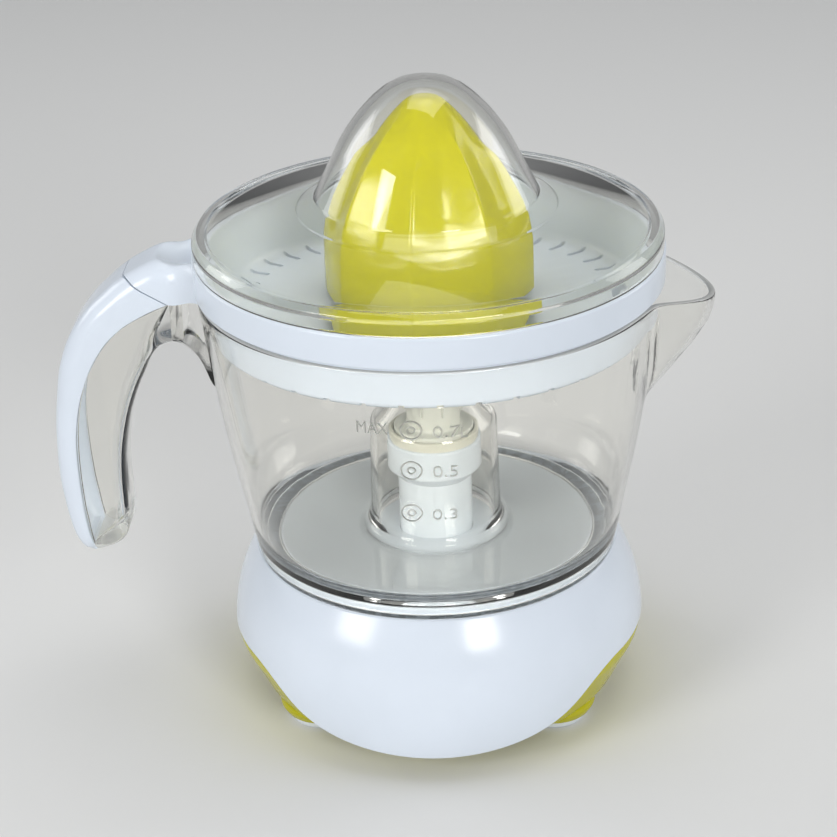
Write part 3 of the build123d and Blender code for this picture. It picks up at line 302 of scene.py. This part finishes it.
def along(table, value):
    """Value at a place on straight lines through (place, value) pairs."""
    if value <= table[0][0]:
        return table[0][1]
    for (a, low), (b, high) in zip(table, table[1:]):
        if value <= b:
            return low + (high - low) * (value - a) / (b - a)
    return table[-1][1]


ROUND = [2 * math.pi * i / 180 for i in range(180)]

# lid: dome, sloping flange with a bead round its edge, and skirt
LID_OUT = [(0, 213), (9.5, 213, 22), (24, 198.5, 58), (35.5, 175.2, 2.5), (41.2, 172.0, 1.5),
           (69.6, 165.5, 0.3), (70.1, 166.1, 0.3), (72.8, 165.6, 1.2), (74.5, 163.4, 1.5), (74.5, 158, 0.5)]
LID_IN = [(72.5, 158, 0.5), (72.5, 161.6, 0.6), (70.1, 163.3, 1), (40.8, 170.0, 1.5), (34.1, 173.6, 3),
          (22.2, 197.5, 56), (8.7, 211, 20), (0, 211)]
lid_line = rounded(LID_OUT + LID_IN, closed=False)
lid = piece("lid_shell", *spun(lid_line, ROUND, closed=False), CLEAR, "lid", 60)
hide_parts("lid")

# cone: eight ridges with hollow flutes, every second ridge running up to the tip
CONE_LINE = rounded([(0, 206.7), (4.5, 206.7, 6), (21.5, 190, 60), (31.5, 171.5, 40), (33.5, 160, 40),
                     (34.7, 139.2, 0.6), (34.1, 138.5)], closed=False)
CONE_IN = [(32.2, 138.5), (31, 160), (29, 171), (19, 188.5), (0, 203.5)]
CONE_ANGLES = [math.pi * i / 160 for i in range(320)]
FIRST_RIDGE = math.radians(-96.4)
INSIDE = 0.9             # share of the inner radius, which leaves a wall under the flutes


def fluted(r, z, angle):
    """Radius of the cone, with flutes outside."""
    if (r, z) in CONE_IN:
        return r * INSIDE, z
    turn = (angle - FIRST_RIDGE) / math.radians(45)
    off = abs(turn - round(turn))
    short = round(turn) % 2 == 0
    hollow = 1 - (1 - 2 * off) ** 1.7
    depth = 0.13 * r * ease(z, 204, 190) * (0.30 + 0.70 * ease(z, 156, 178))
    ridge = 1 if not short else ease(z, 195, 187)
    lost = 1 - ridge * (1 - hollow)
    return r - depth * lost, z


cone_line = divided(CONE_LINE, 1.2, closed=False) + CONE_IN
cone = piece("cone_reamer", *spun(cone_line, CONE_ANGLES, fluted, closed=False), YELLOW, "cone", 50)
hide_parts("cone")

# strainer: ring on the jug's rim and slotted bowl
STRAINER = [(74.99, 158, 0.9), (74.99, 148, 0.6), (73.2, 148, 0.2), (73.2, 147), (71.5, 147, 0.5),
            (69.3, 133.2, 2.5), (15.2, 133.2, 1), (15.2, 128, 0.4), (13.2, 128, 0.4), (13.2, 141, 0.5),
            (15.2, 141, 0.5), (15.2, 135.4, 1.5), (67.2, 135.4, 5), (70.9, 158, 0.9)]
bowl = piece("strainer_bowl", *spun(rounded(STRAINER), ROUND), WHITE, "strainer", 45)


def prism(points, faces, plan, low, high, turn):
    """Adds an upright body over a plan that is turned about the drive axis."""
    first, count = len(points), len(plan)
    for z in (low, high):
        for x, y in plan:
            points.append((x * math.cos(turn) - y * math.sin(turn), x * math.sin(turn) + y * math.cos(turn), z))
    faces.append([first + i for i in range(count)])
    faces.append([first + count + i for i in range(count)])
    for i in range(count):
        j = (i + 1) % count
        faces.append([first + i, first + j, first + count + j, first + count + i])


SLOT_PLAN = rounded([(58.5, -1, 0.99), (66.5, -1, 0.99), (66.5, 1, 0.99), (58.5, 1, 0.99)])
NOTCH_PLAN = [(63, -1), (71.5, -1), (71.5, 1), (63, 1)]
SLOTS = 38
slot_points, slot_faces, notch_points, notch_faces = [], [], [], []
for index in range(SLOTS):
    prism(slot_points, slot_faces, SLOT_PLAN, 132.2, 140.2, 2 * math.pi * index / SLOTS)
    prism(notch_points, notch_faces, NOTCH_PLAN, 132.2, 134.8, 2 * math.pi * index / SLOTS)
cut(bowl, slot_points, slot_faces, 45)
cut(bowl, notch_points, notch_faces, 45)
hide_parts("strainer")


# thumb tab of the strainer: widens into the ring, hollowed on top for the thumb, ends at the seam with the cover
TAB_ROOT = 73.2
TAB_LENGTH = 26.6
TAB_ROUND = 7
SEAM_U = 82.3
SEAM_Z = 143.5
SEAM_BOW = 2.8
SEAM_HALF = 9.5
DISH_R = 21.8


def seam_z(u, y):
    """Height of the seam; it bows outward over the middle of the handle."""
    return SEAM_Z + 0.597 * (u - SEAM_U - SEAM_BOW * max(0, 1 - (y / SEAM_HALF) ** 2))


def tab_top(u, y):
    """Height of the tab's upper side, with the thumb hollow."""
    off = u - 86.6
    flat = 157.2 - 0.57 * (off + math.sqrt(off * off + 9)) / 2
    away = (u - 76.5) ** 2 + y * y
    if away > DISH_R ** 2:
        return flat
    dish = 175.4 - math.sqrt(DISH_R ** 2 - away)
    blend = (flat - dish + math.sqrt((flat - dish) ** 2 + 0.05)) / 2
    return flat - blend


tab_loops = []
for index in range(49):
    nominal = TAB_ROOT + TAB_LENGTH * index / 48
    keep = 1 - ease(nominal, TAB_ROOT, 82)
    wide = 26.5 - math.sqrt(169 - min(max(83.9 - nominal + 2.4 * keep, 0), 12.4) ** 2)
    low = SEAM_Z + 3.9 * ease(nominal, 81, 72.5)
    level = max(wide - TAB_ROUND, 0)
    half = [(level * k / 40, 0) for k in range(41)]
    for k in range(1, 25):
        turn = math.pi / 2 * k / 24
        half.append((level + TAB_ROUND * math.sin(turn), TAB_ROUND - TAB_ROUND * math.cos(turn)))
    side = []
    for y, down in half:
        u = nominal - keep * (TAB_ROOT - math.sqrt(TAB_ROOT ** 2 - y * y))
        floor = low if u < SEAM_U else max(low, seam_z(u, y))
        z = tab_top(u, y) - down
        if z <= floor + 0.02:
            break
        side.append((u, y, z))
    if len(side) < 3:
        break
    u, y, z = side[-1]
    steps = [side[round(k * (len(side) - 1) / 40)] for k in range(41)]
    floor = low if u < SEAM_U else max(low, seam_z(u, y))
    for k in range(1, 5):
        steps.append((u, y, z + (floor - z) * k / 4))
    if nominal < 83:
        inner = min(y - 0.8, 11.7)
        steps += [(u, inner, floor), (nominal, inner, 147.3), (nominal, 0, 147.3)]
    else:
        for place, across in ((u, y * 0.7), (u, y * 0.35), (nominal, 0)):
            steps.append((place, across, max(low, seam_z(nominal, across))))
    tab_loops.append([(-u, y, z) for u, y, z in steps] + [(-u, -y, z) for u, y, z in steps[-2:0:-1]])
tab = piece("strainer_tab", *swept(tab_loops), WHITE, "strainer", 50)
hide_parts("strainer")

# jug: wall with a drawn-out spout, floor and chimney
JUG_LOOP = [(59.7, 55.5, 0.5), (68.6, 101, 500), (74.3, 147, 1), (72.1, 147, 1), (66.4, 101.3, 500), (58.6, 60.8, 7),
            (21.8, 60.8, 5), (20.8, 98, 4), (12.8, 107, 3), (12.8, 138, 0.8), (10.8, 138, 0.8), (10.8, 106.2, 4),
            (18.8, 97, 3), (19.8, 58.4, 3.5), (52.7, 58.4, 0.5), (52.7, 55.5, 0.5)]
SPOUT_RIDGE = [(104, 66), (107, 69.8), (109.5, 72.8), (115.8, 77.8), (125.8, 84.6), (135.8, 89.1),
               (142, 90.6), (148, 91.0)]
SPOUT_WIDTH = [(104, 3.4), (114, 3.9), (124, 4.4), (147, 5.3)]
WALL_LINE = [(55.5, 59.7), (101, 68.6), (147, 74.3)]
SPOUT_FOOT = SPOUT_RIDGE[0][0]


def wall_r(z):
    """Outer radius of the jug's wall."""
    return along(WALL_LINE, z)


def drawn_out(r, z, angle):
    """Moves the wall out and the rim down at the spout, which has the plan of a parabola."""
    if z < SPOUT_FOOT or r < 50:
        return r, z
    inset = wall_r(z) - r
    width = (along(SPOUT_WIDTH, z) - 0.12 * inset) ** 2
    reach = along(SPOUT_RIDGE, z) - inset
    side = math.sin(angle) ** 2 / width
    ahead = math.cos(angle)
    if ahead < 0.5:
        return r, z
    if side < 1e-5:
        far = reach / ahead
    else:
        far = (math.sqrt(ahead ** 2 + 4 * reach * side) - ahead) / (2 * side)
    bend = 1.5 + 2.5 * ease(z, SPOUT_FOOT, 130)
    rise = ((far - r) + math.sqrt((far - r) ** 2 + bend ** 2)) / 2
    rise = max(rise - 0.3, 0) if far > r - 12 else 0
    drop = 5.4 * ease(z, 116, 147) * min(rise / 16.8, 1)
    return r + rise, z - drop


JUG_ANGLES = [math.radians(a * 0.75) for a in range(-40, 40)] + [math.radians(30 + a * 2.5) for a in range(120)]
jug_line = divided(rounded(JUG_LOOP), 2.5)
jug = piece("jug_wall", *spun(jug_line, JUG_ANGLES, drawn_out), CLEAR, "jug", 50)
jug.data.materials.append(PAINTED_EDGE_LIGHT)
# painted highlight: the lip's upper faces and the foot's lower faces take the paler half-milky material
for face in jug.data.polygons:
    lip = face.normal.z > 0.45 and face.center.z > 0.138
    foot = face.normal.z < -0.4 and face.center.z < 0.057
    if (lip or foot) and face.center.xy.length > 0.03:
        face.material_index = 1
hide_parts("jug")


# grip: clear channel from the wall round to its lower end
# rows of finger side (u, z), back (u, z), half width, hollow
GRIP = [(69.8, 113.0, 73.6, 146.6, 11.2, 0), (72.0, 119.5, 75.8, 146.6, 11.2, 0),
        (74.2, 124.2, 78.2, 146.6, 11.2, 0), (77.6, 127.4, 80.4, 146.0, 11.2, 0),
        (81.5, 128.4, 81.8, 143.5, 11.3, 0), (85.0, 127.6, 86.2, 141.2, 11.5, 0.5),
        (88.2, 125.4, 91.0, 138.9, 11.8, 0.9), (90.6, 121.9, 95.9, 136.2, 12.0, 1),
        (92.4, 118.0, 100.2, 133.0, 12.2, 1), (94.8, 113.0, 104.8, 127.9, 12.2, 1),
        (97.2, 107.0, 108.9, 121.3, 12.2, 1), (99.4, 100.0, 112.3, 114.0, 12.2, 1),
        (101.1, 92.0, 114.8, 103.5, 12.2, 1), (102.0, 85.0, 115.9, 93.5, 12.2, 1),
        (102.3, 77.5, 116.1, 83.0, 12.2, 1), (102.3, 70.0, 115.7, 72.0, 12.2, 1),
        (102.3, 64.0, 115.0, 65.2, 12.2, 1), (102.7, 60.0, 114.5, 60.5, 12.2, 0.6),
        (104.1, 57.2, 114.0, 57.4, 12.0, 0.1), (106.6, 55.9, 113.7, 55.6, 11.4, 0),
        (109.4, 55.0, 113.4, 54.5, 10.6, 0)]


GRIP_WALL = 2.4
grip_loops = []
for index, (u0, z0, u1, z1, half, hollow) in enumerate(smooth(GRIP, 4)):
    depth = math.hypot(u1 - u0, z1 - z0)
    soft = 0.8 + min(6.5, 0.42 * depth) * ease(index, 6, 24)
    floor_at = depth - max(min(hollow, 1) * (depth - 2.6), 0.3)
    deep = min(4.5, (depth - floor_at) * 0.45)
    inner = half - GRIP_WALL
    loop = rounded([(0, -half, soft), (0, half, soft), (depth, half, 0.25), (depth, inner, 0.25),
                    (floor_at, inner, deep), (floor_at, -inner, deep), (depth, -inner, 0.25), (depth, -half, 0.25)])
    row = []
    for out, wide in loop:
        u, z = u0 + (u1 - u0) * out / depth, z0 + (z1 - z0) * out / depth
        if index < 2:
            u = math.sqrt((wall_r(z) - 0.6) ** 2 - wide ** 2) + 1.2 * index
        row.append((-u, wide, z))
    grip_loops.append(row)
grip = piece("jug_grip", *swept(grip_loops), CLEAR, "jug", 50)
SLIT_PLAN = [(-82.4, -9.4), (-78.4, -9.4), (-78.4, 9.4), (-82.4, 9.4)]
slit_points, slit_faces = [], []
prism(slit_points, slit_faces, SLIT_PLAN, 130.2, 150, 0)
cut(grip, slit_points, slit_faces, 50)
grip.data.materials.append(PAINTED_EDGE_LIGHT)
# painted highlight: the grip's lower end takes the paler half-milky material
for face in grip.data.polygons:
    if face.center.z < 0.0565:
        face.material_index = 1
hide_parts("jug")

# handle cover: white shell on the back of the grip, from the seam to its tip
# rows of inner (u, z), outer (u, z) and how far it is hollowed
COVER = [(82.6, 143.3, 96.3, 151.3, 1), (87.0, 141.5, 100.2, 148.6, 1), (91.6, 139.2, 104.2, 145.2, 1),
         (95.9, 136.7, 108.3, 141.4, 1), (99.2, 134.2, 111.7, 137.4, 1), (102.5, 131.0, 114.8, 133.0, 1),
         (105.2, 127.7, 117.4, 128.0, 1), (107.6, 124.0, 119.3, 123.0, 1), (110.0, 119.3, 120.8, 117.6, 1),
         (113.4, 110.3, 122.3, 108.5, 1), (115.1, 102.7, 123.3, 100.5, 1), (116.1, 95.5, 123.8, 92.5, 1),
         (116.4, 88.0, 123.97, 85.0, 1), (116.3, 79.6, 123.7, 77.0, 1), (115.8, 69.8, 122.6, 68.5, 1),
         (115.1, 63.0, 121.2, 61.6, 1), (114.4, 59.0, 119.7, 57.4, 0.8), (113.8, 56.0, 117.6, 54.3, 0.3),
         (113.4, 53.9, 114.9, 52.9, 0)]
COVER_WALL = 2.2
cover_loops = []
for u0, z0, u1, z1, open_share in smooth(COVER, 4):
    depth = math.hypot(u1 - u0, z1 - z0)
    half = 12.9 + 0.6 * ease(depth, 2, 6) - 3.5 * (1 - ease(depth, 1.5, 7.0))
    soft = min(6.8, depth * 0.92)
    roof = depth - 0.3 - max(open_share, 0) * max(depth - 2.5, 0)
    inner = depth - COVER_WALL if open_share > 0.5 else max(0.3, roof * 0.3)
    deep = min(5, inner * 0.45)
    side = half - COVER_WALL
    loop = rounded([(0, side, 0.2), (inner, side, deep), (inner, -side, deep), (0, -side, 0.2),
                    (0, -half, 0.3), (depth, -half, soft), (depth, half, soft), (0, half, 0.3)])
    bulge = SEAM_BOW * (1 - ease(len(cover_loops), 0, 9))
    row = []
    for out, wide in loop:
        share = out / depth * bulge * max(0, 1 - (wide / SEAM_HALF) ** 2)
        u, z = u0 + (u1 - u0) * out / depth, z0 + (z1 - z0) * out / depth
        row.append((-(u + 0.85 * share), wide, z - 0.5 * share))
    cover_loops.append(row)
cover = piece("handle_shell", *swept(cover_loops), WHITE, "jug", 50)
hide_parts("handle_cover")

# graduations in low relief on the front of the wall: text, degrees, height, tall, stretch
MARKS = [("0.3", -88.1, 97.3, 4.0, 1.22), ("0.5", -87.7, 112.9, 4.0, 1.22), ("0.7", -87.4, 126.9, 4.0, 1.22),
         ("L", -80.9, 126.5, 4.0, 0.9), ("MAX", -105.7, 127.9, 4.2, 0.78)]
RINGS = [(-93.2, 97.8), (-92.75, 113.2), (-92.4, 127.4)]
RING_STEPS = 48
RING_SECTION = [(-0.28, -0.2), (-0.2, 0.22), (0.2, 0.22), (0.28, -0.2)]


def on_wall(across, up, out, degrees, height):
    """Point on the wall: millimetres to the right of and above a place, and out of the surface."""
    z = height + up
    r = wall_r(z) + out
    angle = math.radians(degrees) + across / wall_r(height)
    return r * math.cos(angle), r * math.sin(angle), z


mark_points, mark_faces = [], []
for text, degrees, height, tall, stretch in MARKS:
    letters = bpy.data.curves.new("letters", "FONT")
    letters.body = text
    letters.size = tall * 1.4
    letters.extrude = 0.25
    letters.offset = -0.05
    letters.resolution_u = 4
    shown = bpy.data.objects.new("letters", letters)
    mesh = bpy.data.meshes.new_from_object(shown)
    first = len(mark_points)
    for vertex in mesh.vertices:
        x, y, z = vertex.co
        mark_points.append(on_wall(x * stretch, y - tall / 2, z + 0.05, degrees, height))
    mark_faces += [[first + i for i in face.vertices] for face in mesh.polygons]
    bpy.data.objects.remove(shown)
    bpy.data.curves.remove(letters)
for degrees, height in RINGS:
    for radius in (3.1, 1.1):
        first = len(mark_points)
        for step in range(RING_STEPS):
            turn = 2 * math.pi * step / RING_STEPS
            for off, out in RING_SECTION:
                across, above = (radius + off) * math.cos(turn), (radius + off) * math.sin(turn)
                mark_points.append(on_wall(across, above, out, degrees, height))
        for step in range(RING_STEPS):
            for k in range(4):
                here, on = first + 4 * step, first + 4 * ((step + 1) % RING_STEPS)
                mark_faces.append([here + k, here + (k + 1) % 4, on + (k + 1) % 4, on + k])
marks = piece("graduations", mark_points, mark_faces, FROSTED, "jug", 40)

# camera at the photograph's angle, turned with the object about the drive axis
DISTANCE = 0.665
HEIGHT = 0.4179
TURN = math.radians(3.0)
PITCH = math.radians(25.78)
YAW = math.radians(-0.42)
ROLL = math.radians(-1.92)
SENSOR = 36
LENS = 2249.6 / 837 * SENSOR
camera_data = bpy.data.cameras.new("camera")
camera_data.sensor_width = SENSOR
camera_data.lens = LENS
camera = bpy.data.objects.new("camera", camera_data)
bpy.context.scene.collection.objects.link(camera)
ahead = Vector((math.sin(YAW) * math.cos(PITCH), math.cos(YAW) * math.cos(PITCH), -math.sin(PITCH)))
right = Vector((math.cos(YAW), -math.sin(YAW), 0))
up = right.cross(ahead)
side = right * math.cos(ROLL) + up * math.sin(ROLL)
rise = up * math.cos(ROLL) - right * math.sin(ROLL)
pose = Matrix((side, rise, -ahead)).transposed().to_4x4()
pose.translation = (0, -DISTANCE, HEIGHT)
camera.matrix_world = Matrix.Translation((AXIS_X, 0, 0)) @ Matrix.Rotation(TURN, 4, "Z") @ pose
bpy.context.scene.camera = camera

# floor, sweeping up behind
floor_mesh = bpy.data.meshes.new("floor")
SWEEP = 1.2
rows = [(-3, 0)]
for i in range(21):
    turn = i * math.pi / 40
    rows.append((SWEEP + SWEEP * math.sin(turn), SWEEP - SWEEP * math.cos(turn)))
rows.append((2 * SWEEP, 4))
points = [(x, y, z) for y, z in rows for x in (-4, 4)]
floor_mesh.from_pydata(points, [], [(2 * i, 2 * i + 1, 2 * i + 3, 2 * i + 2) for i in range(len(rows) - 1)])
for face in floor_mesh.polygons:
    face.use_smooth = True
floor = bpy.data.objects.new("floor", floor_mesh)
bpy.context.scene.collection.objects.link(floor)
paint, _ = principled("floor_paint", (0.78, 0.78, 0.77), 0.9, Specular_IOR_Level=0.2)
floor_mesh.materials.append(paint)


AIM = (0, 0, 0.1)


def lamp(name, place, size, power, spread=75):
    """Rectangular area lamp aimed at the middle of the object."""
    data = bpy.data.lights.new(name, "AREA")
    data.shape = "RECTANGLE"
    data.size, data.size_y = size
    data.energy = power
    data.spread = math.radians(spread)
    light = bpy.data.objects.new(name, data)
    light.location = place
    light.rotation_euler = (Vector(AIM) - Vector(place)).to_track_quat("-Z", "Y").to_euler()
    bpy.context.scene.collection.objects.link(light)


lamp("key", (-1.3, -1.25, 0.8), (0.7, 0.8), 2.55)
lamp("fill", (0.85, -1.65, 0.8), (0.6, 0.7), 2.65)
lamp("top", (0.1, 0.25, 1.8), (1.2, 1.2), 7, 180)
lamp("right", (1.7, 0.75, 0.8), (0.8, 0.8), 1)
lamp("left", (-1.7, 0.75, 0.8), (0.8, 0.8), 0.85)
world = bpy.data.worlds.new("studio")
world.use_nodes = True
world.node_tree.nodes["Background"].inputs["Color"].default_value = (0.95, 0.97, 1, 1)
world.node_tree.nodes["Background"].inputs["Strength"].default_value = 0.36
bpy.context.scene.world = world
bpy.context.scene.view_settings.view_transform = "Standard"
